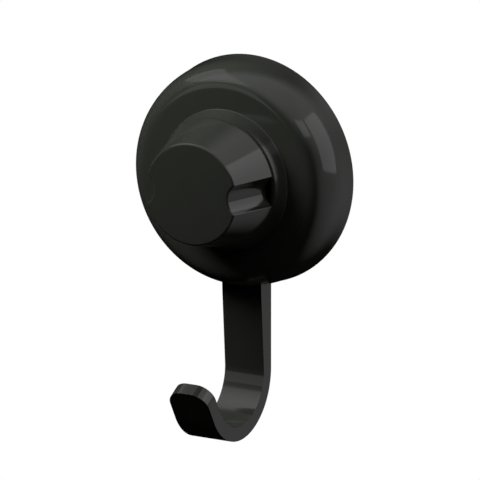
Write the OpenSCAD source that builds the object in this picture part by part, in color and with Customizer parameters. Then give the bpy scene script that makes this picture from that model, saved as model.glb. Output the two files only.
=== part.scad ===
// Twist-lock suction hook: a bell housing with a hook moulded on, a twist knob,
// and a suction cup that the knob draws forward on a screw.
// X is to the right, Z is up and the wall is at y = 0, with the knob towards -Y.
// Depths are measured forward from the wall.

/* [Bell] */
// Radius of the bell's rim at the wall
rim_r = 32.5; // [31.5:0.25:36]
// Inward draft of the skirt over its height
skirt_draft = 0.57; // [0.2:0.01:1]
// Height of the skirt
skirt_h = 4.74; // [4:0.05:6]
// Width of the rounded shoulder, across the radius
shoulder_w = 5.93; // [5:0.05:6.5]
// Depth of the ring face from the wall
face_d = 15; // [14.5:0.1:18]
// Wall thickness of the bell
wall = 2.5; // [2.2:0.1:2.7]

/* [Collar] */
// Outer radius of the collar at its lip
collar_r = 18.31; // [17.8:0.05:18.8]
// Height of the collar over the ring face
collar_h = 4.65; // [4.2:0.05:6]
// Thickness of the lip
lip_t = 0.9; // [0.7:0.05:1.3]
// Radius of the fillet at the collar's foot
foot_fillet = 0.5; // [0.3:0.1:1.5]
// How far the floor of the well lies below the ring face
well_drop = 0.4; // [0.2:0.1:0.8]
// Radius of the fillet between the well's floor and the collar
well_fillet = 1.2; // [0.6:0.1:1.6]

/* [Inside the bell] */
// Bore of the guide sleeve
sleeve_bore_r = 12.5; // [11.8:0.1:13]
// Wall of the guide sleeve
sleeve_wall = 2.2; // [1.8:0.1:2.6]
// Number of stiffening ribs
rib_count = 8; // [8:4:12]
// Thickness of the stiffening ribs
rib_t = 1.6; // [1.2:0.1:2]
// Thickness of the ring that presses on the cup's lip
press_ring_t = 1.5; // [1.2:0.1:1.8]
// Distance from the bell's inner wall to the press ring
press_ring_inset = 2.1; // [1.8:0.1:2.5]

/* [Hook] */
// Width of the hook strap
hook_w = 12.5; // [10:0.5:15]
// Thickness of the strap in the bend and the tongue
hook_t = 4; // [3:0.1:5]
// Thickness of the strap where it leaves the rim
strap_root_t = 5.7; // [5:0.1:6.5]
// Drop from the bell's axis to the start of the bend
hook_drop = 56.3; // [50:0.1:70]
// Inner radius of the bend
bend_r = 13; // [10:0.5:16]
// Angle that the bend turns through
bend_angle = 150; // [130:1:170]
// Length of the straight tongue after the bend
tongue_l = 10; // [8:0.1:16]
// Radius of the tongue's rounded corners
tip_corner_r = 4.7; // [2:0.1:4.8]

/* [Knob] */
// Height of the knob from the seam to its face
knob_h = 13.97; // [12.5:0.01:16]
// Radius of the knob's flat face
knob_face_r = 14.34; // [13.8:0.02:15]
// Radius of the rounding round the face
face_edge_r = 0.5; // [0.3:0.05:0.8]
// Wall of the knob's cone
knob_wall = 1.8; // [1.5:0.1:2.1]
// Thickness of the knob's face
knob_face_t = 2.4; // [2:0.1:3]
// Radius of the finger scallops
scallop_r = 5.3; // [4.8:0.1:5.8]
// Depth of the scallops at the face
scallop_depth = 2.65; // [2.2:0.05:3]
// Number of ribs inside the knob
knob_rib_count = 6; // [6:4:10]
// Thickness of those ribs
knob_rib_t = 1.4; // [1:0.1:1.8]
// Height of the ribs' open ends above the knob's rear edge
knob_rib_lift = 3; // [2:0.1:5]

/* [Knob hub] */
// Radius of the hub that turns in the bell's floor
hub_r = 7.5; // [7.3:0.05:7.8]
// Radius of the barrel inside the knob
barrel_r = 8.2; // [8:0.1:8.8]
// Radius of the shoulder that bears on the thrust washer
shoulder_r = 10.2; // [9.8:0.1:11]
// Thickness of that shoulder
shoulder_t = 1.6; // [1.2:0.1:2.4]
// Length of the hub behind the retaining ring
hub_tail = 0.8; // [0.6:0.05:1.1]

/* [Hardware] */
// Radius of the screw
stud_r = 4; // [3.8:0.05:4.2]
// Length of the screw in front of the anchor
stud_l = 17; // [14:0.5:17.5]
// Pitch of the screw thread
pitch = 1.25; // [1.2:0.05:1.5]
// Turns of the knob from released to locked
turns = 2.75; // [2:0.25:3]
// Radius of the screw's hexagonal head, across its corners
head_r = 7; // [6:0.1:8]
// Thickness of the screw's head
head_t = 1.2; // [0.8:0.1:1.4]
// Outer radius of the threaded insert
insert_r = 5.4; // [5.2:0.05:5.6]
// Length of the threaded insert
insert_l = 12; // [10:0.5:14]
// Thickness of the retaining ring
ring_t = 1; // [0.8:0.05:1.2]
// Outer radius of the retaining ring
ring_r = 9.2; // [8.6:0.1:9.6]
// Depth of the retaining ring's groove in the hub
groove_depth = 0.8; // [0.6:0.05:0.9]
// Width of the retaining ring's opening
ring_opening = 7; // [5:0.5:9]
// Thickness of the thrust washer
washer_t = 0.8; // [0.6:0.05:1.2]
// Outer radius of the thrust washer
washer_r = 10.8; // [10.3:0.1:12]

/* [Anchor] */
// Thickness of the anchor that slides in the sleeve
anchor_t = 2.6; // [2.3:0.05:2.9]
// Width of the anchor's two keys
key_w = 4; // [3:0.1:5]
// How deep the anchor sits in the sleeve when released
anchor_engage = 1.3; // [1:0.05:1.6]

/* [Suction cup] */
// Hollow under the middle of the cup
cup_hollow = 1.6; // [1.2:0.05:1.7]
// Radius of the flat in the middle of that hollow
cup_flat_r = 3; // [2:0.25:5]
// Thickness of the cup beside its boss
cup_t = 2; // [1.6:0.1:2.2]
// Thickness of the cup's lip
cup_lip_t = 0.7; // [0.5:0.05:0.9]

/* [Clearances] */
// Gap of the seam between the knob and the collar
seam_gap = 0.3; // [0.2:0.05:0.5]
// Running clearance of a shaft in its bore, on the radius
run_fit = 0.06; // [0.03:0.01:0.1]
// Clearance of moulded-in and pressed-in pieces, on the radius
seat_fit = 0.02; // [0.01:0.01:0.04]
// Clearance of the anchor's keys in their slots, each side
key_fit = 0.15; // [0.1:0.05:0.25]
// End play of the knob between its washer and its ring
end_play = 0.1; // [0.05:0.05:0.2]
// Gap between the locked anchor and the hub
stop_gap = 0.3; // [0.2:0.05:0.4]
// Gap round the cup's lip and boss
cup_gap = 0.9; // [0.6:0.05:1.1]
// Gap between the press ring and the cup's lip
press_gap = 0.3; // [0.25:0.05:0.5]

/* [Hidden] */
$fn = 96;

black = [0.03, 0.03, 0.03];
acetal = [0.88, 0.87, 0.83];
brass = [0.75, 0.6, 0.3];
steel = [0.68, 0.69, 0.71];
soft_clear = [0.72, 0.76, 0.78];

over = 1; // how far a cut runs past the face it opens
bite = 0.4; // how far a rib runs into the wall that carries it
strap_sink = 0.8; // how far outside the bell's inner wall the strap starts
arc_steps = 14; // straight bands round a curved profile
bend_steps = 30; // flats round the hook's bend

// Bell: radii and depths of its walls
skirt_r = rim_r - skirt_draft;
face_r = skirt_r - shoulder_w;
inner_rim_r = rim_r - wall;
inner_skirt_r = skirt_r - wall;
back_d = face_d - wall;
collar_d = face_d + collar_h;
floor_d = face_d - well_drop;
well_r = collar_r - lip_t;

// Knob: depths along the axis
knob_rear = collar_d + seam_gap;
knob_front = knob_rear + knob_h;
slope = atan((collar_r - knob_face_r) / knob_h);
foot_r = collar_r + (foot_fillet + (collar_h - foot_fillet) * sin(slope)) / cos(slope);
shoulder_d = floor_d + washer_t + end_play;
ring_front = back_d - end_play;
ring_back = ring_front - ring_t;
groove_r = hub_r - groove_depth;
hub_back = ring_back - hub_tail;
roof_d = knob_front - knob_face_t;
insert_back = hub_back + seam_gap;

// Screw, anchor and cup: depths along the axis when released
travel = turns * pitch;
anchor_front = hub_back - stop_gap - travel;
anchor_back = anchor_front - anchor_t;
head_back = anchor_back - head_t;
stud_front = anchor_front + stud_l;
bore_front = stud_front + travel + over;
sleeve_back = anchor_front - anchor_engage;
sleeve_r = sleeve_bore_r + sleeve_wall;
slot_front = anchor_front + travel + stop_gap;
boss_r = sleeve_bore_r - cup_gap;
cup_r = inner_rim_r - cup_gap;
press_out_r = inner_rim_r - press_ring_inset;
press_in_r = press_out_r - press_ring_t;
press_back = cup_top(press_in_r) + press_gap;

// Hook: centre of the bend, in the plane of the strap's side
bend_y = -(bend_r + hook_t);
bend_z = -hook_drop;
strap_top_z = -(inner_rim_r + strap_sink);

// Underside and top of the cup at radius r
function cup_under(r) = cup_hollow * (1 - pow(max(0, r - cup_flat_r) / (cup_r - cup_flat_r), 2));
function cup_thick(r) = cup_t + (cup_lip_t - cup_t) * (r - boss_r) / (cup_r - boss_r);
function cup_top(r) = cup_under(r) + cup_thick(r);

// Quarter of an ellipse from the skirt up to the ring face, at the given wall depth
function shoulder_curve(inset) = [
    for (i = [0 : arc_steps])
        let (a = 90 * i / arc_steps)
        [face_r + (shoulder_w - inset) * cos(a), skirt_h + (face_d - inset - skirt_h) * sin(a)]
];

// Concave arc from the ring face up to the collar's side, which goes on in the knob's slope
function foot_curve() = [
    for (i = [0 : arc_steps / 2])
        let (a = 270 - (90 - slope) * i / (arc_steps / 2))
        [foot_r + foot_fillet * cos(a), face_d + foot_fillet + foot_fillet * sin(a)]
];

// Concave arc from the well's side down to its floor
function well_curve() = [
    for (i = [0 : arc_steps / 2])
        let (a = -180 * i / arc_steps)
        [well_r - well_fillet + well_fillet * cos(a), floor_d + well_fillet + well_fillet * sin(a)]
];

// Radius of the knob's side at height h over its rear edge
function knob_side(h) = collar_r + (knob_face_r - collar_r) * h / knob_h;

// Turns a shape built forward along +Z so that it points away from the wall
module forward() {
    rotate([90, 0, 0]) children();
}

// A disc or tube on the axis, between two depths
module tube(r, from_d, to_d, bore = 0) {
    translate([0, 0, from_d]) difference() {
        cylinder(r = r, h = to_d - from_d);
        if (bore > 0)
            translate([0, 0, -over]) cylinder(r = bore, h = to_d - from_d + 2 * over);
    }
}

// A flat rib that stands on the axis, from its outline in radius and depth
module radial_rib(t, outline) {
    rotate([90, 0, 0]) translate([0, 0, -t / 2]) linear_extrude(t) polygon(outline);
}

module bell_shell() {
    rotate_extrude() polygon(concat(
        [[inner_rim_r, 0], [rim_r, 0]],
        shoulder_curve(0),
        foot_curve(),
        [[collar_r, collar_d], [well_r, collar_d]],
        well_curve(),
        [[hub_r + run_fit, floor_d], [hub_r + run_fit, back_d]],
        [for (p = [arc_steps : -1 : 0]) shoulder_curve(wall)[p]]
    ));
}

module guide_sleeve() {
    difference() {
        tube(sleeve_r, sleeve_back, back_d + bite, sleeve_bore_r);
        translate([-sleeve_r - over, -key_w / 2 - key_fit, sleeve_back - over])
            cube([2 * (sleeve_r + over), key_w + 2 * key_fit, slot_front - sleeve_back + over]);
    }
}

module bell_ribs() {
    for (i = [0 : rib_count - 1])
        rotate([0, 0, (i + 0.5) * 360 / rib_count])
            radial_rib(rib_t, [
                [sleeve_r - bite, back_d + bite],
                [press_in_r + bite, back_d + bite],
                [press_in_r + bite, press_back + over],
                [sleeve_r - bite, sleeve_back + over]
            ]);
}

// Points of the bend at the given radius, from the strap round to the tongue
function bend_curve(r) = [
    for (i = [0 : bend_steps])
        let (a = -bend_angle * i / bend_steps)
        [bend_y + r * cos(a), bend_z + r * sin(a)]
];

// Point on the tongue at the given radius from the bend's centre and length along it
function tongue_point(r, l) = [
    bend_y + r * cos(bend_angle) + l * cos(270 - bend_angle),
    bend_z - r * sin(bend_angle) + l * sin(270 - bend_angle)
];

// Strap, bend and tongue as one outline in Y and Z, up to the tongue's rounded end
module hook_arm() {
    straight_l = tongue_l - tip_corner_r;
    rotate([90, 0, 90]) translate([0, 0, -hook_w / 2]) linear_extrude(hook_w) polygon(concat(
        [[0, strap_top_z]],
        bend_curve(bend_r + hook_t),
        [tongue_point(bend_r + hook_t, straight_l), tongue_point(bend_r, straight_l)],
        [for (i = [bend_steps : -1 : 0]) bend_curve(bend_r)[i]],
        [[-strap_root_t, -rim_r], [-strap_root_t, strap_top_z]]
    ));
}

// The rounded end, laid in the tongue's plane
module hook_tip() {
    flat_w = hook_w - 2 * tip_corner_r;
    root = tongue_point(bend_r, tongue_l - tip_corner_r);
    translate([0, root[0], root[1]]) rotate([270 - bend_angle, 0, 0])
        linear_extrude(hook_t) intersection() {
            translate([-hook_w / 2, 0]) square([hook_w, tip_corner_r]);
            union() {
                translate([-flat_w / 2, 0]) square([flat_w, tip_corner_r]);
                for (side = [-1, 1])
                    translate([side * flat_w / 2, 0]) circle(r = tip_corner_r);
            }
        }
}

module housing() {
    color(black) union() {
        forward() {
            bell_shell();
            guide_sleeve();
            bell_ribs();
            tube(press_out_r, press_back, back_d + bite, press_in_r);
        }
        hook_arm();
        hook_tip();
    }
}

module thrust_washer() {
    color(acetal) forward() tube(washer_r, floor_d, floor_d + washer_t, hub_r + key_fit);
}

// A cylinder that follows the cone's side, on the +X side of the knob
module scallop(r) {
    centre_x = knob_face_r - scallop_depth + scallop_r / cos(slope);
    translate([centre_x, 0, knob_front]) rotate([0, -slope, 0])
        translate([0, 0, -1.5 * knob_h]) cylinder(r = r, h = 2 * knob_h);
}

module both_scallops(r) {
    for (turn = [0, 180]) rotate([0, 0, turn]) scallop(r);
}

module knob_cone() {
    steps = arc_steps;
    edge_h = knob_h - face_edge_r;
    edge_r = knob_side(edge_h);
    rotate_extrude() polygon(concat(
        [[0, knob_rear]],
        [for (i = [0 : steps]) [knob_side(edge_h * i / steps), knob_rear + edge_h * i / steps]],
        [for (a = [30, 60, 90]) [
            edge_r - face_edge_r * (1 - cos(a)), knob_rear + edge_h + face_edge_r * sin(a)]],
        [[0, knob_front]]
    ));
}

module knob_cavity() {
    inner_front_r = knob_side(knob_h - knob_face_t) - knob_wall;
    difference() {
        rotate_extrude() polygon([
            [barrel_r, knob_rear - over], [collar_r - knob_wall, knob_rear - over],
            [collar_r - knob_wall, knob_rear], [inner_front_r, roof_d], [barrel_r, roof_d]
        ]);
        both_scallops(scallop_r + knob_wall);
        for (i = [0 : knob_rib_count - 1])
            rotate([0, 0, (i + 0.5) * 360 / knob_rib_count])
                radial_rib(knob_rib_t, [
                    [barrel_r - bite, knob_rear + knob_rib_lift], [collar_r, knob_rear + knob_rib_lift],
                    [collar_r, roof_d + bite], [barrel_r - bite, roof_d + bite]
                ]);
    }
}

module knob() {
    color(black) forward() difference() {
        union() {
            difference() {
                knob_cone();
                knob_cavity();
                both_scallops(scallop_r);
            }
            tube(hub_r, hub_back, knob_rear + over);
            tube(barrel_r, shoulder_d, knob_rear + over);
            tube(shoulder_r, shoulder_d, shoulder_d + shoulder_t);
        }
        tube(insert_r + seat_fit, hub_back - over, insert_back + insert_l);
        tube(stud_r + cup_gap, insert_back, bore_front);
        tube(hub_r + over, ring_back - end_play / 2, ring_front + end_play / 2, groove_r);
    }
}

module thread_insert() {
    waist_r = insert_r - run_fit * 5;
    color(brass) forward() difference() {
        union() {
            tube(insert_r, insert_back, insert_back + insert_l * 0.4);
            tube(waist_r, insert_back, insert_back + insert_l);
            tube(insert_r, insert_back + insert_l * 0.6, insert_back + insert_l);
        }
        tube(stud_r + run_fit, insert_back - over, insert_back + insert_l + over);
    }
}

module retaining_ring() {
    color(steel) forward() difference() {
        tube(ring_r, ring_back, ring_front, groove_r + seat_fit);
        translate([-ring_opening / 2, 0, ring_back - over])
            cube([ring_opening, ring_r + over, ring_t + 2 * over]);
    }
}

module stud() {
    tip_h = 1;
    color(steel) forward() union() {
        tube(stud_r, head_back, stud_front - tip_h);
        translate([0, 0, stud_front - tip_h])
            cylinder(r1 = stud_r, r2 = stud_r - tip_h, h = tip_h);
        translate([0, 0, head_back]) cylinder(r = head_r, h = head_t, $fn = 6);
    }
}

module anchor() {
    key_reach = sleeve_r - key_fit;
    color(acetal) forward() difference() {
        union() {
            tube(sleeve_bore_r - run_fit, anchor_back, anchor_front);
            translate([-key_reach, -key_w / 2, anchor_back])
                cube([2 * key_reach, key_w, anchor_t]);
        }
        tube(stud_r + seat_fit, anchor_back - over, anchor_front + over);
    }
}

module suction_cup() {
    steps = arc_steps;
    color(soft_clear) forward() difference() {
        rotate_extrude() polygon(concat(
            [[0, cup_hollow]],
            [for (i = [0 : steps])
                let (r = cup_flat_r + (cup_r - cup_flat_r) * i / steps)
                [r, cup_under(r)]],
            [for (i = [0 : steps])
                let (r = cup_r - (cup_r - boss_r) * i / steps)
                [r, cup_top(r)]],
            [[boss_r, anchor_back], [0, anchor_back]]
        ));
        translate([0, 0, head_back]) cylinder(r = head_r + seat_fit, h = head_t + over, $fn = 6);
    }
}

housing();
thrust_washer();
knob();
thread_insert();
retaining_ring();
stud();
anchor();
suction_cup();
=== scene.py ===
import math
import bmesh
import bpy
import numpy as np
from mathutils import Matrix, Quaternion, Vector


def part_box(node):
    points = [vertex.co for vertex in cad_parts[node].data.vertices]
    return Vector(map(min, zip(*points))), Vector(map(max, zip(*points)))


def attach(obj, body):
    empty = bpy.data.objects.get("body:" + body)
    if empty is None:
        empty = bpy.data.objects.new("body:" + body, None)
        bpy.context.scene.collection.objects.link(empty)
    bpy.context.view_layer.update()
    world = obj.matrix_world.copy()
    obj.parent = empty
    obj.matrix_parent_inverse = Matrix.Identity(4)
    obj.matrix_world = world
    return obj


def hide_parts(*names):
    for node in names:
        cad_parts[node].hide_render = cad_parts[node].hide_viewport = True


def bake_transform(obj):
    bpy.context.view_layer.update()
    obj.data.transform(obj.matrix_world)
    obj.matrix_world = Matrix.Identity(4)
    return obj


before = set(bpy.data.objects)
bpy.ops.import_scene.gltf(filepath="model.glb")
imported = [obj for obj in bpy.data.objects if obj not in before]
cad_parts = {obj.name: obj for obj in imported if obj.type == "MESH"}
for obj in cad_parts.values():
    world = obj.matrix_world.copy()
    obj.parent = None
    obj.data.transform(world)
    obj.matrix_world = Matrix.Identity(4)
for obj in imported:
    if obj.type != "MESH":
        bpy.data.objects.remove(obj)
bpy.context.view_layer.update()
bpy.context.scene.view_settings.view_transform = "Standard"
mm = 0.001
print("frame loaded:", sorted(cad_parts))

# Depth is measured forward from the wall, so a point at depth d lies at y = -d


def depthsOf(node):
    low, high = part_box(node)
    return -high.y / mm, -low.y / mm


housingLow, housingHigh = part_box("housing")
knobLow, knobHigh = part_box("knob")
rimRadius = housingHigh.x / mm
hubEnd, knobFront = depthsOf("knob")
seamRadius = knobHigh.z / mm
knobRear = 19.95
knobFaceRadius = 14.34
knobSlope = math.atan((seamRadius - knobFaceRadius) / (knobFront - knobRear))

# Camera: a long lens, as the photo shows almost no perspective
cameraSet = {
    "azimuth": 29.84,
    "elevation": 14.8,
    "distance": 3.0,
    "lens": 812.0,
    "aimRight": -3.25,
    "aimUp": -19.94,
}


def makeCamera(s):
    a = math.radians(s["azimuth"])
    e = math.radians(s["elevation"])
    back = Vector((math.sin(a) * math.cos(e), -math.cos(a) * math.cos(e), math.sin(e)))
    right = Vector((math.cos(a), math.sin(a), 0))
    aim = (right * s["aimRight"] + back.cross(right) * s["aimUp"]) * mm
    data = bpy.data.cameras.new("camera")
    data.lens = s["lens"]
    data.clip_start = 0.1
    data.clip_end = 20
    cam = bpy.data.objects.new("camera", data)
    cam.rotation_mode = "QUATERNION"
    cam.rotation_quaternion = (-back).to_track_quat("-Z", "Y")
    cam.location = aim + back * s["distance"]
    bpy.context.scene.collection.objects.link(cam)
    bpy.context.scene.camera = cam


makeCamera(cameraSet)
print("camera set")


# Shader maths: a Wire is one socket, and sums on it become Math nodes
class Wire:
    def __init__(self, tree, socket):
        self.tree = tree
        self.socket = socket

    def math(self, operation, *values):
        return addNode(self.tree, "ShaderNodeMath", {"operation": operation}, list(values))

    def __add__(self, other):
        return self.math("ADD", self, other)

    def __radd__(self, other):
        return self.math("ADD", other, self)

    def __sub__(self, other):
        return self.math("SUBTRACT", self, other)

    def __rsub__(self, other):
        return self.math("SUBTRACT", other, self)

    def __mul__(self, other):
        return self.math("MULTIPLY", self, other)

    def __rmul__(self, other):
        return self.math("MULTIPLY", other, self)

    def __truediv__(self, other):
        return self.math("DIVIDE", self, other)

    def __rtruediv__(self, other):
        return self.math("DIVIDE", other, self)

    def __pow__(self, other):
        return self.math("POWER", self, other)

    def ramp(self, low, high):
        return addNode(self.tree, "ShaderNodeMapRange", {"interpolation_type": "SMOOTHSTEP"},
            {"Value": self, "From Min": low, "From Max": high})


def addNode(tree, kind, settings=None, values=None, output=0):
    node = tree.nodes.new(kind)
    for key, value in (settings or {}).items():
        if key == "stops":
            fillRamp(node.color_ramp, value)
        else:
            setattr(node, key, value)
    pairs = values.items() if isinstance(values, dict) else enumerate(values or [])
    for key, value in pairs:
        if isinstance(value, Wire):
            tree.links.new(value.socket, node.inputs[key])
        else:
            node.inputs[key].default_value = value
    return Wire(tree, node.outputs[output]) if node.outputs else None


def fillRamp(ramp, stops):
    while len(ramp.elements) < len(stops):
        ramp.elements.new(1)
    for element, (place, colour) in zip(ramp.elements, stops):
        element.position = place
        element.color = (*colour, 1) if len(colour) == 3 else colour


def newMaterial(name):
    material = bpy.data.materials.new(name)
    material.use_nodes = True
    tree = material.node_tree
    tree.nodes.clear()
    place = addNode(tree, "ShaderNodeTexCoord", output="Object")
    return material, tree, place


def finishMaterial(tree, values):
    shader = addNode(tree, "ShaderNodeBsdfPrincipled", {}, values)
    addNode(tree, "ShaderNodeOutputMaterial", {}, {"Surface": shader})


def noise(tree, place, size, detail=3.0, roughness=0.5):
    return addNode(tree, "ShaderNodeTexNoise", {}, {
        "Vector": place, "Scale": 1 / (size * mm), "Detail": detail, "Roughness": roughness})


def bump(tree, height, distance, strength=1.0):
    return addNode(tree, "ShaderNodeBump", {}, {
        "Height": height, "Distance": distance * mm, "Strength": strength})


def mixColour(tree, factor, first, second):
    return addNode(tree, "ShaderNodeMix", {"data_type": "RGBA"}, {0: factor, 6: first, 7: second}, 2)


plasticSet = {
    "colour": (0.0178, 0.0192, 0.0158, 1),
    "pale": (0.0202, 0.0216, 0.0182, 1),
    "gloss": 0.1,
    "glossSpread": 0.02,
    "cloudSize": 14,
    "orangePeelSize": 2.6,
    "orangePeelDepth": 0.0012,
    "grainSize": 0.16,
    "grainDepth": 0.0006,
}


def moulded(name, s):
    material, tree, place = newMaterial(name)
    cloud = noise(tree, place, s["cloudSize"])
    peel = noise(tree, place, s["orangePeelSize"], 1.0)
    grain = noise(tree, place, s["grainSize"], 2.0)
    height = peel * s["orangePeelDepth"] + grain * s["grainDepth"]
    finishMaterial(tree, {
        "Base Color": mixColour(tree, cloud, s["colour"], s["pale"]),
        "Roughness": s["gloss"] + (cloud - 0.5) * s["glossSpread"] + (grain - 0.5) * s["glossSpread"],
        "Normal": bump(tree, height, 1.0),
    })
    return material


metalSets = {
    "brass": {"colour": (0.72, 0.52, 0.22, 1), "dull": (0.5, 0.35, 0.15, 1), "gloss": 0.28},
    "springSteel": {"colour": (0.3, 0.3, 0.31, 1), "dull": (0.16, 0.16, 0.17, 1), "gloss": 0.34},
    "zincPlate": {"colour": (0.62, 0.63, 0.65, 1), "dull": (0.45, 0.46, 0.48, 1), "gloss": 0.24},
}


def turned(name, s):
    material, tree, place = newMaterial(name)
    cloud = noise(tree, place, 3.0)
    stretch = addNode(tree, "ShaderNodeMapping", {}, {"Vector": place, "Scale": (1, 14, 1)})
    lines = noise(tree, stretch, 0.9, 2.0)
    finishMaterial(tree, {
        "Base Color": mixColour(tree, cloud, s["colour"], s["dull"]),
        "Metallic": 1.0,
        "Roughness": s["gloss"] + (cloud - 0.5) * 0.14 + (lines - 0.5) * 0.1,
        "Normal": bump(tree, lines, 0.006),
    })
    return material


def naturalAcetal():
    material, tree, place = newMaterial("acetal")
    cloud = noise(tree, place, 6.0)
    finishMaterial(tree, {
        "Base Color": mixColour(tree, cloud, (0.8, 0.79, 0.74, 1), (0.72, 0.71, 0.65, 1)),
        "Roughness": 0.36 + (cloud - 0.5) * 0.1,
        "Subsurface Weight": 0.15,
        "Subsurface Scale": 0.0015,
        "Normal": bump(tree, noise(tree, place, 0.3), 0.003),
    })
    return material


vinylSet = {
    "colour": (0.5, 0.55, 0.57, 1),
    "edge": (0.62, 0.66, 0.67, 1),
    "gloss": 0.16,
}


def softVinyl(s):
    material, tree, place = newMaterial("softVinyl")
    cloud = noise(tree, place, 9.0)
    finishMaterial(tree, {
        "Base Color": mixColour(tree, cloud, s["colour"], s["edge"]),
        "Roughness": s["gloss"] + (cloud - 0.5) * 0.08,
        "Transmission Weight": 0.55,
        "IOR": 1.5,
        "Normal": bump(tree, noise(tree, place, 5.0, 1.0), 0.02),
    })
    return material


blackPlastic = moulded("blackPlastic", plasticSet)
knobPlastic = moulded("knobPlastic", {**plasticSet, "cloudSize": 9})
brass = turned("brass", metalSets["brass"])
springSteel = turned("springSteel", metalSets["springSteel"])
zincPlate = turned("zincPlate", metalSets["zincPlate"])
acetal = naturalAcetal()
vinyl = softVinyl(vinylSet)
print("materials made")


# Mesh helpers
def arc(centre, radius, start, end, steps):
    found = []
    for i in range(steps + 1):
        a = math.radians(start + (end - start) * i / steps)
        found.append((centre[0] + radius * math.cos(a), centre[1] + radius * math.sin(a)))
    return found


# Rounds the corners of an outline: each corner is (radius, depth, rounding)
def roundedPath(corners, steps=5):
    path = []
    count = len(corners)
    for i, (x, y, rounding) in enumerate(corners):
        here = np.array((x, y))
        before = np.array(corners[i - 1][:2])
        after = np.array(corners[(i + 1) % count][:2])
        if not rounding:
            path.append((x, y))
            continue
        u = (before - here) / np.linalg.norm(before - here)
        v = (after - here) / np.linalg.norm(after - here)
        half = math.acos(max(-1, min(1, float(u @ v)))) / 2
        reach = rounding / math.tan(half)
        centre = here + (u + v) / np.linalg.norm(u + v) * rounding / math.sin(half)
        first = here + u * reach - centre
        last = here + v * reach - centre
        for k in range(steps + 1):
            t = k / steps
            turn = math.pi - 2 * half
            mix = (first * math.sin((1 - t) * turn) + last * math.sin(t * turn)) / math.sin(turn)
            path.append(tuple(centre + mix))
    return path


# Large faces lead the normals, so flats stay flat and small roundings catch the light
def leadNormals(mesh):
    total = np.zeros((len(mesh.vertices), 3))
    for face in mesh.polygons:
        weight = np.array(face.normal) * face.area
        for v in face.vertices:
            total[v] += weight
    length = np.linalg.norm(total, axis=1)
    total[length > 0] /= length[length > 0][:, None]
    mesh.shade_smooth()
    mesh.normals_split_custom_set_from_vertices(total.tolist())


def makePiece(name, vertices, faces, material):
    mesh = bpy.data.meshes.new(name)
    mesh.from_pydata([Vector(v) * mm for v in vertices], [], faces)
    work = bmesh.new()
    work.from_mesh(mesh)
    bmesh.ops.remove_doubles(work, verts=work.verts, dist=1e-7)
    bmesh.ops.recalc_face_normals(work, faces=work.faces)
    work.to_mesh(mesh)
    work.free()
    mesh.materials.append(material)
    piece = bpy.data.objects.new(name, mesh)
    bpy.context.scene.collection.objects.link(piece)
    return piece


# A closed turned shape: rows give its depth, and radiusAt gives the radius of a row at an angle
def turnedGrid(rows, columns, pointAt, closed):
    vertices = []
    faces = []
    for row in rows:
        for column in columns:
            radius, depth = pointAt(row, column)
            vertices.append((radius * math.cos(column), -depth, radius * math.sin(column)))
    wide = len(columns)
    last = len(rows) if closed else len(rows) - 1
    for i in range(last):
        for j in range(wide):
            a = i * wide + j
            b = i * wide + (j + 1) % wide
            c = (i + 1) % len(rows) * wide + (j + 1) % wide
            d = (i + 1) % len(rows) * wide + j
            faces.append((a, b, c, d))
    return vertices, faces


def lathe(name, path, material, segments=192, closed=True):
    columns = [2 * math.pi * j / segments for j in range(segments)]
    vertices, faces = turnedGrid(path, columns, lambda row, angle: row, closed)
    piece = makePiece(name, vertices, faces, material)
    leadNormals(piece.data)
    return piece


def bake(piece):
    depsgraph = bpy.context.evaluated_depsgraph_get()
    mesh = bpy.data.meshes.new_from_object(piece.evaluated_get(depsgraph), depsgraph=depsgraph)
    piece.modifiers.clear()
    piece.data = mesh


def place(piece, body, slotName, *nodes):
    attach(piece, body)
    if nodes:
        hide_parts(*nodes)


# Geometry Nodes: copies of one rib, evenly turned round the axis
def spokeTree():
    tree = bpy.data.node_groups.new("spokes", "GeometryNodeTree")
    tree.interface.new_socket("Rib", in_out="INPUT", socket_type="NodeSocketGeometry")
    tree.interface.new_socket("Count", in_out="INPUT", socket_type="NodeSocketInt")
    tree.interface.new_socket("First turn", in_out="INPUT", socket_type="NodeSocketFloat")
    tree.interface.new_socket("Finish", in_out="INPUT", socket_type="NodeSocketMaterial")
    tree.interface.new_socket("Ribs", in_out="OUTPUT", socket_type="NodeSocketGeometry")
    source = tree.nodes.new("NodeGroupInput")
    inputs = {s.name: Wire(tree, s) for s in source.outputs if s.name}
    step = 2 * math.pi / inputs["Count"]
    spots = addNode(tree, "GeometryNodeMeshLine", {}, {"Count": inputs["Count"], "Offset": (0, 0, 0)})
    index = addNode(tree, "GeometryNodeInputIndex")
    turn = index * step + inputs["First turn"]
    turned3d = addNode(tree, "ShaderNodeCombineXYZ", {}, {"Y": turn})
    copies = addNode(tree, "GeometryNodeInstanceOnPoints", {}, {
        "Points": spots, "Instance": inputs["Rib"], "Rotation": turned3d})
    real = addNode(tree, "GeometryNodeRealizeInstances", {}, [copies])
    finished = addNode(tree, "GeometryNodeSetMaterial", {}, {
        "Geometry": real, "Material": inputs["Finish"]})
    output = tree.nodes.new("NodeGroupOutput")
    tree.links.new(finished.socket, output.inputs["Ribs"])
    return tree


spokes = spokeTree()


# One flat rib from its outline in radius and depth, copied round by the tree above
def ribRing(name, outline, thickness, count, material):
    half = thickness / 2
    n = len(outline)
    vertices = [(r, -d, -half) for r, d in outline] + [(r, -d, half) for r, d in outline]
    faces = [tuple(range(n)), tuple(range(2 * n - 1, n - 1, -1))]
    faces += [(i, (i + 1) % n, n + (i + 1) % n, n + i) for i in range(n)]
    piece = makePiece(name, vertices, faces, material)
    modifier = piece.modifiers.new("spokes", "NODES")
    modifier.node_group = spokes
    values = {"Count": count, "First turn": math.pi / count, "Finish": material}
    for item in spokes.interface.items_tree:
        if item.in_out == "INPUT" and item.name in values:
            modifier[item.identifier] = values[item.name]
    bake(piece)
    return piece


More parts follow.
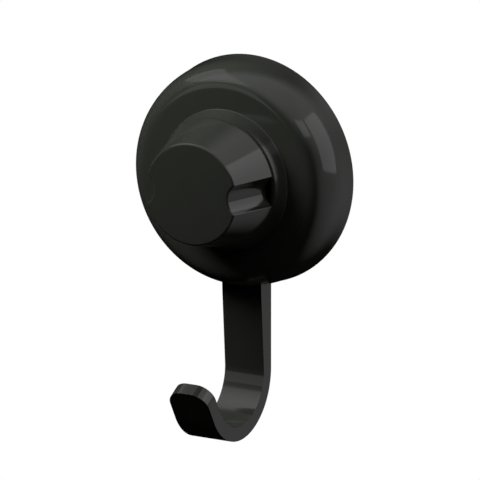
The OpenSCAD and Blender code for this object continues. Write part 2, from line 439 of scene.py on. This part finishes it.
# Bell: radii and depths in millimetres, laid out like the moulding it stands for
bell = {
    "skirtDraft": 0.57,
    "skirtHeight": 4.74,
    "shoulderWidth": 5.93,
    "flowStart": 1.6,
    "flowEnd": 0.5,
    "crownStart": 1.05,
    "crownEnd": 24.6,
    "faceDepth": 15.0,
    "wall": 2.5,
    "lip": 0.9,
    "footFillet": 0.3,
    "seamGap": 0.22,
    "lipInset": -0.07,
    "collarFlare": 0.25,
    "wellDrop": 0.4,
    "wellFillet": 1.2,
    "hubRadius": 7.56,
    "edge": 0.3,
    "lipEdge": 0.05,
    "sleeveBore": 12.5,
    "sleeveWall": 2.2,
    "sleeveBack": 5.56,
    "pressOuter": 27.9,
    "pressThickness": 1.5,
    "pressBack": 1.5,
    "ribCount": 8,
    "ribThickness": 1.6,
}


def shoulder(s, inset, steps, first=0, last=math.pi / 2):
    skirtRadius = rimRadius - s["skirtDraft"]
    faceRadius = skirtRadius - s["shoulderWidth"]
    across = s["shoulderWidth"] - inset
    forward = s["faceDepth"] - inset - s["skirtHeight"]
    found = []
    for i in range(steps + 1):
        a = first + (last - first) * i / steps
        found.append((faceRadius + across * math.cos(a), s["skirtHeight"] + forward * math.sin(a)))
    return found


# The skirt flows into the shoulder, and the shoulder into the ring face: pairs of a value and
# its place, from start up to end, on a curve with the given slope at each end
def flowOn(start, startSlope, end, endSlope, steps):
    span = end[1] - start[1]
    found = []
    for i in range(steps):
        t = i / steps
        value = start[0] * (1 + 2 * t) * (1 - t) ** 2 + end[0] * t * t * (3 - 2 * t)
        value += span * (startSlope * t * (1 - t) ** 2 - endSlope * t * t * (1 - t))
        found.append((value, start[1] + span * t))
    return found


def bellOutline(s):
    back = s["faceDepth"] - s["wall"]
    floor = s["faceDepth"] - s["wellDrop"]
    lipDepth = knobRear - s["seamGap"]
    wellRadius = seamRadius - s["lip"]
    fillet = s["footFillet"]
    well = s["wellFillet"]
    slope = math.tan(knobSlope)
    reach = lipDepth - s["faceDepth"]
    foot = math.atan(slope + 2 * s["collarFlare"] / reach)
    footHeight = fillet * (1 - math.sin(foot))

    def side(height):
        return seamRadius + slope * (reach - height) + s["collarFlare"] * (1 - height / reach) ** 2

    lean = -s["skirtDraft"] / s["skirtHeight"]
    low = (rimRadius + lean * s["flowStart"], s["flowStart"])
    rounded = shoulder(s, 0, 30, s["flowEnd"], s["crownStart"])
    steep = (s["faceDepth"] - s["skirtHeight"]) / s["shoulderWidth"]
    crown = flowOn(rounded[-1][::-1], -steep / math.tan(s["crownStart"]),
        (s["faceDepth"], s["crownEnd"]), 0, 16)
    outer = [(rimRadius, 0, s["edge"])]
    outer += [(r, d, 0) for r, d in flowOn(low, lean, rounded[0], -math.tan(s["flowEnd"]) / steep, 16)]
    outer += [(r, d, 0) for r, d in rounded[:-1]]
    outer += [(r, d, 0) for d, r in crown] + [(s["crownEnd"], s["faceDepth"], 0)]
    outer += [(r, d, 0) for r, d in arc((side(footHeight) + fillet * math.cos(foot),
        s["faceDepth"] + fillet), fillet, 270, 180 + math.degrees(foot), 6)]
    outer += [(side(h), s["faceDepth"] + h, 0) for h in np.linspace(footHeight, reach, 12)[1:-1]]
    outer += [(seamRadius - s["lipInset"], lipDepth, s["lipEdge"]), (wellRadius, lipDepth, s["lipEdge"])]
    inner = [(r, d, 0) for r, d in arc((wellRadius - well, floor + well), well, 0, -90, 8)]
    inner += [(s["hubRadius"], floor, s["lipEdge"]), (s["hubRadius"], back, s["lipEdge"])]
    inner += [(r, d, 0) for r, d in reversed(shoulder(s, s["wall"], 20))]
    inner += [(rimRadius - s["wall"], 0, s["edge"])]
    return roundedPath(outer + inner)


def tubeOutline(inner, outer, back, front, edge):
    return roundedPath([(inner, back, edge), (outer, back, edge), (outer, front, 0), (inner, front, 0)], 3)


def joinInto(main, others):
    work = bmesh.new()
    work.from_mesh(main.data)
    for other in others:
        work.from_mesh(other.data)
        bpy.data.objects.remove(other)
    work.to_mesh(main.data)
    work.free()


bellShell = lathe("bellShell", bellOutline(bell), blackPlastic, 256)
place(bellShell, "housing", "black_plastic", "housing")

backDepth = bell["faceDepth"] - bell["wall"]
sleeveOuter = bell["sleeveBore"] + bell["sleeveWall"]
pressInner = bell["pressOuter"] - bell["pressThickness"]
guideSleeve = lathe("guideSleeve", tubeOutline(
    bell["sleeveBore"], sleeveOuter, bell["sleeveBack"], backDepth + 0.4, 0.3), blackPlastic, 96)
place(guideSleeve, "housing", "black_plastic", "housing")
pressRing = lathe("pressRing", tubeOutline(
    pressInner, bell["pressOuter"], bell["pressBack"], backDepth + 0.4, 0.4), blackPlastic, 128)
place(pressRing, "housing", "black_plastic", "housing")
bellRibs = ribRing("bellRibs", [
    (sleeveOuter - 0.4, backDepth + 0.4), (pressInner + 0.4, backDepth + 0.4),
    (pressInner + 0.4, bell["pressBack"] + 1), (sleeveOuter - 0.4, bell["sleeveBack"] + 1),
], bell["ribThickness"], bell["ribCount"], blackPlastic)
place(bellRibs, "housing", "black_plastic", "housing")
print("bell made")


# Hook: a flat strap, a bend and a tongue with a rounded end
hook = {
    "width": 12.5,
    "thickness": 4.0,
    "rootThickness": 5.7,
    "rootHeight": -30.8,
    "drop": 56.3,
    "bendRadius": 13.0,
    "bendAngle": 150,
    "bendSteps": 60,
    "tongue": 10.0,
    "cornerRadius": 4.7,
    "edge": 0.42,
}


# Stations along the arm: (outer point, inner point, half width), the points in Y and Z
def hookStations(s):
    centre = np.array((-(s["bendRadius"] + s["thickness"]), -s["drop"]))
    half = s["width"] / 2
    stations = []
    for t in np.linspace(0, 1, 9)[:-1]:
        z = s["rootHeight"] + (centre[1] - s["rootHeight"]) * t
        along = min(1, max(0, (z + rimRadius) / (centre[1] + rimRadius)))
        thick = s["rootThickness"] + (s["thickness"] - s["rootThickness"]) * along
        stations.append(((0, z), (-thick, z), half))
    for i in range(s["bendSteps"] + 1):
        a = -math.radians(s["bendAngle"]) * i / s["bendSteps"]
        outward = np.array((math.cos(a), math.sin(a)))
        outer = centre + outward * (s["bendRadius"] + s["thickness"])
        inner = centre + outward * s["bendRadius"]
        stations.append((outer, inner, half))
    end = -math.radians(s["bendAngle"])
    along = np.array((math.sin(end), -math.cos(end)))
    straight = s["tongue"] - s["cornerRadius"]
    for l in (straight * 0.5, straight):
        stations.append((outer + along * l, inner + along * l, half))
    flat = half - s["cornerRadius"]
    for i in range(1, 17):
        a = math.pi / 2 * i / 16
        l = straight + s["cornerRadius"] * math.sin(a)
        stations.append((outer + along * l, inner + along * l, flat + s["cornerRadius"] * math.cos(a)))
    return stations


def makeHook(s):
    stations = hookStations(s)
    vertices = []
    faces = []
    for outer, inner, half in stations:
        for side, point in ((-1, outer), (1, outer), (1, inner), (-1, inner)):
            vertices.append((side * half, point[0], point[1]))
    for i in range(len(stations) - 1):
        for j in range(4):
            k = (j + 1) % 4
            faces.append((4 * i + j, 4 * i + k, 4 * i + 4 + k, 4 * i + 4 + j))
    last = 4 * (len(stations) - 1)
    faces += [(0, 3, 2, 1), (last, last + 1, last + 2, last + 3)]
    piece = makePiece("hookArm", vertices, faces, blackPlastic)
    rounding = piece.modifiers.new("edges", "BEVEL")
    rounding.width = s["edge"] * mm
    rounding.segments = 4
    rounding.limit_method = "ANGLE"
    rounding.angle_limit = math.radians(50)
    bake(piece)
    leadNormals(piece.data)
    return piece


hookArm = makeHook(hook)
place(hookArm, "housing", "black_plastic", "housing")
print("hook made")


# Knob: one turned grid whose radius dips into the two finger scallops. A small step behind its
# rear edge stands inside the collar's lip and keeps the seam dark
knob = {
    "rear": knobRear,
    "faceRadius": knobFaceRadius,
    "faceEdge": 0.5,
    "rearEdge": 0.05,
    "scallopRadius": 5.3,
    "scallopDepth": 2.65,
    "scallopEdge": 0.2,
    "wall": 1.8,
    "stepInset": 1.1,
    "stepDrop": 1.0,
    "faceThickness": 2.4,
    "barrel": 8.2,
    "shoulder": 10.2,
    "shoulderDepth": 15.5,
    "shoulderThickness": 1.6,
    "hub": 7.5,
    "grooveDepth": 0.8,
    "ringThickness": 1.0,
    "ringDepth": 12.4,
    "bore": 5.4,
    "innerBore": 4.9,
    "insertEnd": 22.9,
    "boreEnd": 28.2,
    "ribCount": 6,
    "ribThickness": 1.4,
    "ribLift": 3.0,
}
knob["height"] = knobFront - knob["rear"]
knob["slope"] = knobSlope


def coneRadius(s, height):
    return seamRadius + (s["faceRadius"] - seamRadius) * height / s["height"]


# Distance from the axis to the near side of a scallop, along a ray at this angle
def scallopRadius(s, height, angle, grow):
    radius = s["scallopRadius"] + grow
    wide = radius / math.cos(s["slope"])
    front = s["faceRadius"] - s["scallopDepth"] + s["scallopRadius"] / math.cos(s["slope"])
    centre = front + (s["height"] - height) * math.tan(s["slope"])
    x = abs(math.cos(angle)) / wide
    z = math.sin(angle) / radius
    a = x * x + z * z
    b = -2 * x * centre / wide
    c = centre * centre / wide / wide - 1
    inside = b * b - 4 * a * c
    if inside <= 0:
        return None
    return (-b - math.sqrt(inside)) / (2 * a)


# The lesser of cone and scallop, blended over a small rounding where they meet
def knobRadius(s, height, angle, inset):
    cone = coneRadius(s, height) - inset
    cut = scallopRadius(s, height, angle, inset)
    if cut is None or cut - cone > s["scallopEdge"]:
        return cone
    if cone - cut > s["scallopEdge"]:
        return cut
    k = s["scallopEdge"]
    h = 0.5 + (cut - cone) / (2 * k)
    return cut + (cone - cut) * h - k * h * (1 - h)


# Angles that crowd towards the edges of the scallops
def knobColumns(s):
    edge = math.asin(min(1, 4.2 / 16.2))
    spread = math.radians(3)
    dense = list(np.linspace(edge - spread, edge + spread, 36))
    floor = list(np.linspace(-edge + spread, edge - spread, 24))[1:-1]
    side = list(np.linspace(edge + spread, math.pi - edge - spread, 72))[1:-1]
    half = [-a for a in reversed(dense)] + floor + dense + side
    return half + [a + math.pi for a in half]


def knobRows(s):
    top = s["height"]
    edge = s["faceEdge"]
    rows = []
    for share in (0.0, 0.25, 0.5, 0.75, 0.9):
        rows.append(("face", share))
    for i in range(7):
        a = math.pi / 2 * i / 6
        rows.append(("side", top - edge + edge * math.cos(a), edge * (1 - math.sin(a))))
    for height in list(np.linspace(top - edge, s["rearEdge"], 16))[1:]:
        rows.append(("side", height, 0))
    for i in range(1, 4):
        a = math.pi / 2 * i / 3
        rows.append(("side", s["rearEdge"] * (1 - math.sin(a)), s["rearEdge"] * (1 - math.cos(a))))
    roof = top - s["faceThickness"]
    rows += [("step", s["stepInset"], 0), ("step", s["stepInset"], s["stepDrop"])]
    rows += [("step", s["wall"] - 0.1, s["stepDrop"]), ("side", 0, s["wall"]), ("side", roof * 0.5, s["wall"])]
    rows.append(("side", roof, s["wall"]))
    barrelPath = roundedPath([
        (s["barrel"], s["rear"] + roof, 0),
        (s["barrel"], s["shoulderDepth"] + s["shoulderThickness"], 0.2),
        (s["shoulder"], s["shoulderDepth"] + s["shoulderThickness"], 0.2),
        (s["shoulder"], s["shoulderDepth"], 0.2),
        (s["hub"], s["shoulderDepth"], 0),
        (s["hub"], s["ringDepth"] + 0.05, 0),
        (s["hub"] - s["grooveDepth"], s["ringDepth"] + 0.05, 0),
        (s["hub"] - s["grooveDepth"], s["ringDepth"] - s["ringThickness"] - 0.05, 0),
        (s["hub"], s["ringDepth"] - s["ringThickness"] - 0.05, 0),
        (s["hub"], hubEnd, 0.15),
        (s["bore"], hubEnd, 0),
        (s["bore"], s["insertEnd"], 0),
        (s["innerBore"], s["insertEnd"], 0),
        (s["innerBore"], s["boreEnd"], 0),
        (0, s["boreEnd"], 0),
    ], 3)
    rows += [("round", r, d) for r, d in barrelPath]
    return rows


def makeKnob(s):
    def pointAt(row, angle):
        if row[0] == "round":
            return row[1], row[2]
        if row[0] == "face":
            outline = knobRadius(s, s["height"], angle, s["faceEdge"])
            return outline * row[1], s["rear"] + s["height"]
        if row[0] == "step":
            return knobRadius(s, 0, angle, row[1]), s["rear"] - row[2]
        return knobRadius(s, row[1], angle, row[2]), s["rear"] + row[1]

    vertices, faces = turnedGrid(knobRows(s), knobColumns(s), pointAt, False)
    piece = makePiece("knobShell", vertices, faces, knobPlastic)
    leadNormals(piece.data)
    return piece


knobShell = makeKnob(knob)
place(knobShell, "knob", "knob_plastic", "knob")
roofDepth = knobFront - knob["faceThickness"]
knobRibs = ribRing("knobRibs", [
    (knob["barrel"] - 0.4, knob["rear"] + knob["ribLift"]),
    (coneRadius(knob, knob["ribLift"]) - 0.6, knob["rear"] + knob["ribLift"]),
    (coneRadius(knob, knob["height"] - knob["faceThickness"]) - 0.6, roofDepth + 0.4),
    (knob["barrel"] - 0.4, roofDepth + 0.4),
], knob["ribThickness"], knob["ribCount"], knobPlastic)
place(knobRibs, "knob", "knob_plastic", "knob")
print("knob made")


# Screw: a real thread on the shank and a hexagonal head
screw = {
    "radius": 4.0,
    "threadDepth": 0.6,
    "pitch": 1.25,
    "runOut": 1.2,
    "segments": 48,
    "rowsPerTurn": 10,
    "headCorners": 7.0,
    "headThickness": 1.2,
}


def makeScrew(s):
    back, front = depthsOf("stud")
    shank = back + s["headThickness"]
    columns = [2 * math.pi * j / s["segments"] for j in range(s["segments"])]
    count = int((front - shank) / s["pitch"] * s["rowsPerTurn"])
    rows = [("plain", 0, shank)]
    rows += [("thread", shank + (front - shank) * i / count) for i in range(count + 1)]
    rows += [("plain", 0, front)]

    def pointAt(row, angle):
        if row[0] == "plain":
            return row[1], row[2]
        depth = row[1]
        turn = (depth / s["pitch"] + angle / (2 * math.pi)) % 1
        ridge = max(0, min(1, 2.4 * abs(turn - 0.5) - 0.1))
        root = s["radius"] - s["threadDepth"] * (1 - ridge)
        fade = min(1, max(0, (depth - shank - 0.4) / s["runOut"]))
        chamfer = max(0, depth - front + 1)
        return min(s["radius"] + (root - s["radius"]) * fade, s["radius"] - chamfer), depth

    vertices, faces = turnedGrid(rows, columns, pointAt, False)
    piece = makePiece("studScrew", vertices, faces, zincPlate)
    piece.data.shade_smooth()
    piece.data.set_sharp_from_angle(angle=math.radians(35))
    corners = [(s["headCorners"] * math.cos(a), s["headCorners"] * math.sin(a))
        for a in (math.pi / 3 * i for i in range(6))]
    ends = [(x, -back, z) for x, z in corners] + [(x, -shank, z) for x, z in corners]
    sides = [(i, (i + 1) % 6, 6 + (i + 1) % 6, 6 + i) for i in range(6)]
    head = makePiece("studHead", ends, sides + [tuple(range(6)), tuple(range(11, 5, -1))], zincPlate)
    rounding = head.modifiers.new("edges", "BEVEL")
    rounding.width = 0.15 * mm
    rounding.segments = 2
    bake(head)
    leadNormals(head.data)
    return piece, head


studScrew, studHead = makeScrew(screw)
place(studScrew, "plunger", "zinc_plated_steel", "stud")
place(studHead, "plunger", "zinc_plated_steel", "stud")
print("screw made")


# Suction cup: a thin dish with a boss behind it
cup = {
    "hollow": 1.6,
    "flat": 3.0,
    "thickness": 2.0,
    "lip": 0.7,
    "boss": 11.6,
    "headPocket": 6.2,
    "steps": 32,
    "still": 0.8,
    "drawn": 3.0,
}


def makeCup(s):
    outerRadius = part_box("suction_cup")[1].x / mm
    bossTop = depthsOf("suction_cup")[1]
    pocketDepth = depthsOf("stud")[0]

    def under(r):
        return s["hollow"] * (1 - (max(0, r - s["flat"]) / (outerRadius - s["flat"])) ** 2)

    def top(r):
        share = (r - s["boss"]) / (outerRadius - s["boss"])
        return under(r) + s["thickness"] + (s["lip"] - s["thickness"]) * share

    radii = np.linspace(s["flat"], outerRadius - 0.2, s["steps"])
    path = [(0, s["hollow"])] + [(r, under(r)) for r in radii]
    lipMiddle = (under(outerRadius) + top(outerRadius)) / 2
    path += [(outerRadius, lipMiddle - 0.15), (outerRadius, lipMiddle + 0.15)]
    path += [(r, top(r)) for r in reversed(np.linspace(s["boss"] + 0.8, outerRadius - 0.2, s["steps"]))]
    path += [(s["boss"] + 0.2, top(s["boss"] + 0.8) + 0.15), (s["boss"], top(s["boss"]) + 0.4)]
    path += [(s["boss"], bossTop - 0.2), (s["boss"] - 0.2, bossTop)]
    path += [(s["headPocket"], bossTop), (s["headPocket"], pocketDepth), (0, pocketDepth)]
    piece = lathe("suctionCup", path, vinyl, 160, False)
    return piece


suctionCup = makeCup(cup)
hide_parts("suction_cup")
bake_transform(suctionCup)
print("cup made")

# The CAD nodes that stay keep their meshes and take these finishes
for node, finish in (
    ("thrust_washer", acetal),
    ("anchor", acetal),
    ("thread_insert", brass),
    ("retaining_ring", springSteel),
):
    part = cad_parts[node]
    part.data.materials.clear()
    part.data.materials.append(finish)
print("finishes set")

# Studio: a pale floor well below, and a sky that is bright above and to the right. Soft boxes
# give the reflections, and two lamps near the part give its matt light and the shadows
studio = {
    "floorDrop": 0.25,
    "floorSize": 6.0,
    "sky": 0.8,
    "skyLow": 0.15,
    "skyHigh": 0.95,
    "side": 0.5,
    "sideTowards": (0.93, 0.36, -0.05),
    "back": 0.85,
    "backTowards": (-0.7, 0.714, 0),
    "matt": 0.05,
}

# Each soft box: azimuth (0 in front, 90 to the right), elevation, width, height and roll in
# degrees, radiance and distance
softBoxes = {
    "boxLeft": (-70, 48, 64, 30, 0, 0.4, 1.2),
    "boxRight": (110, 22, 42, 46, -10, 0.6, 1.2),
    "boxRightSmall": (60, 37, 30, 15, 12, 0.6, 1.2),
    "boxFront": (-30, 6, 24, 22, 0, 0.4, 1.2),
}
mattLamps = {
    "lampKey": (-47, 42, 36, 30, 0, 13.4, 0.22),
    "lampFill": (40, 38, 20, 20, 0, 0.8, 0.3),
}


def makeFloor(s):
    half = s["floorSize"] / 2
    level = housingLow.z - s["floorDrop"]
    mesh = bpy.data.meshes.new("floor")
    mesh.from_pydata([(-half, -half, level), (half, -half, level), (half, half, level),
        (-half, half, level)], [], [(0, 1, 2, 3)])
    material = bpy.data.materials.new("floorWhite")
    material.use_nodes = True
    tree = material.node_tree
    tree.nodes.clear()
    path = tree.nodes.new("ShaderNodeLightPath")
    seen = Wire(tree, path.outputs["Is Camera Ray"])
    clear = addNode(tree, "ShaderNodeBsdfTransparent")
    white = addNode(tree, "ShaderNodeEmission", {}, {"Color": (1, 1, 1, 1), "Strength": 1.0})
    mixed = addNode(tree, "ShaderNodeMixShader", {}, {0: seen, 1: clear, 2: white})
    addNode(tree, "ShaderNodeOutputMaterial", {}, {"Surface": mixed})
    mesh.materials.append(material)
    floor = bpy.data.objects.new("floor", mesh)
    bpy.context.scene.collection.objects.link(floor)


def softBox(name, matt, azimuth, elevation, width, height, roll, radiance, distance):
    a = math.radians(azimuth)
    e = math.radians(elevation)
    towards = Vector((math.sin(a) * math.cos(e), -math.cos(a) * math.cos(e), math.sin(e)))
    data = bpy.data.lights.new(name, "AREA")
    data.shape = "RECTANGLE"
    data.size = 2 * distance * math.tan(math.radians(width) / 2)
    data.size_y = 2 * distance * math.tan(math.radians(height) / 2)
    data.energy = 4 * radiance * data.size * data.size_y
    lamp = bpy.data.objects.new(name, data)
    lamp.location = towards * distance
    lamp.rotation_mode = "QUATERNION"
    turn = Quaternion(towards, math.radians(roll))
    lamp.rotation_quaternion = turn @ towards.to_track_quat("Z", "Y")
    lamp.visible_camera = False
    lamp.visible_glossy = not matt
    lamp.visible_diffuse = matt
    bpy.context.scene.collection.objects.link(lamp)


def makeSky(s):
    world = bpy.data.worlds.new("sky")
    bpy.context.scene.world = world
    world.use_nodes = True
    tree = world.node_tree
    tree.nodes.clear()
    towards = addNode(tree, "ShaderNodeTexCoord", output="Generated")
    up, side, back = (addNode(tree, "ShaderNodeVectorMath", {"operation": "DOT_PRODUCT"},
        {0: towards, 1: axis}, "Value") for axis in ((0, 0, 1), s["sideTowards"], s["backTowards"]))
    above = up.ramp(s["skyLow"], s["skyHigh"]) * s["sky"]
    beside = side.ramp(0.3, 1.0) * s["side"]
    behind = back.ramp(0.15, 0.6) * s["back"]
    path = tree.nodes.new("ShaderNodeLightPath")
    seen = Wire(tree, path.outputs["Is Camera Ray"])
    matt = Wire(tree, path.outputs["Is Diffuse Ray"])
    level = (above * (1 - behind) + beside) * (1 - matt * (1 - s["matt"]))
    lit = addNode(tree, "ShaderNodeBackground", {}, {"Color": (1, 1, 1, 1), "Strength": level})
    white = addNode(tree, "ShaderNodeBackground", {}, {"Color": (1, 1, 1, 1), "Strength": 1.0})
    mixed = addNode(tree, "ShaderNodeMixShader", {}, {0: seen, 1: lit, 2: white})
    addNode(tree, "ShaderNodeOutputWorld", {}, {"Surface": mixed})


makeFloor(studio)
makeSky(studio)
for name, values in softBoxes.items():
    softBox(name, False, *values)
for name, values in mattLamps.items():
    softBox(name, True, *values)
print("studio lit")
